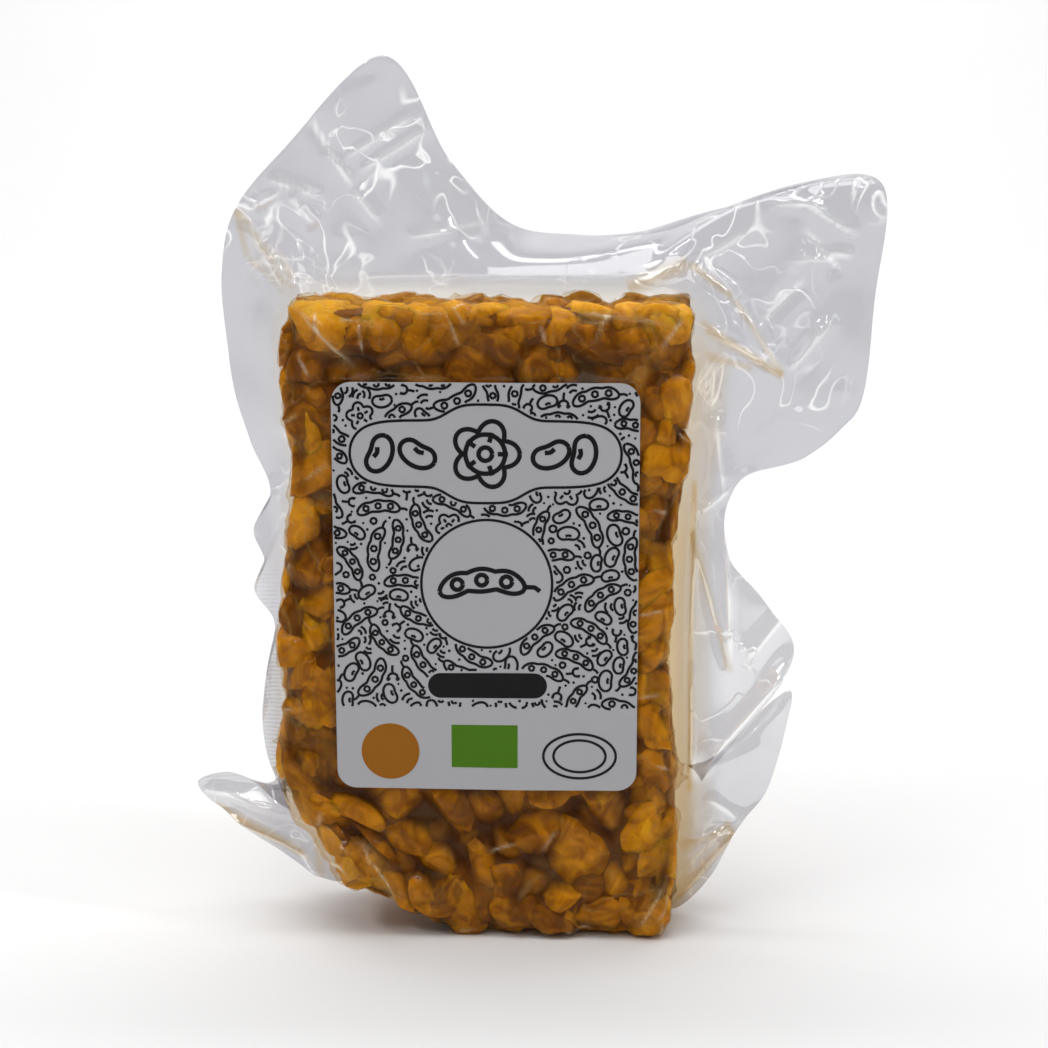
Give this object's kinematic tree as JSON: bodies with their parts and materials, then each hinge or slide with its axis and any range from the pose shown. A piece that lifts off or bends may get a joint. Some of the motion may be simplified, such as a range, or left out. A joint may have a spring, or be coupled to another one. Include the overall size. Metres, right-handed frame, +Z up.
{
  "type": "vacuum-packed tempeh block",
  "caption": "Block of tempeh sealed upright in a clear vacuum pouch with wavy film lobes and a rounded paper label on its front.",
  "frame": {"origin": "on the ground, at the middle of the flat underside's depth, below the middle of the block's width", "axes": "+Z up along the block's long side, -Y out of the front with the label, +X to the right as seen from the front"},
  "size_m": [0.1583, 0.053, 0.1999],
  "materials": {
    "film": "clear vacuum film, glossy, creased",
    "beans": "cooked soybeans, moist, golden brown",
    "label_paper": "white coated label paper, printed, satin"
  },
  "bodies": {
    "root": {"pouch": "film", "label": "label_paper"}
  },
  "joints": []
}
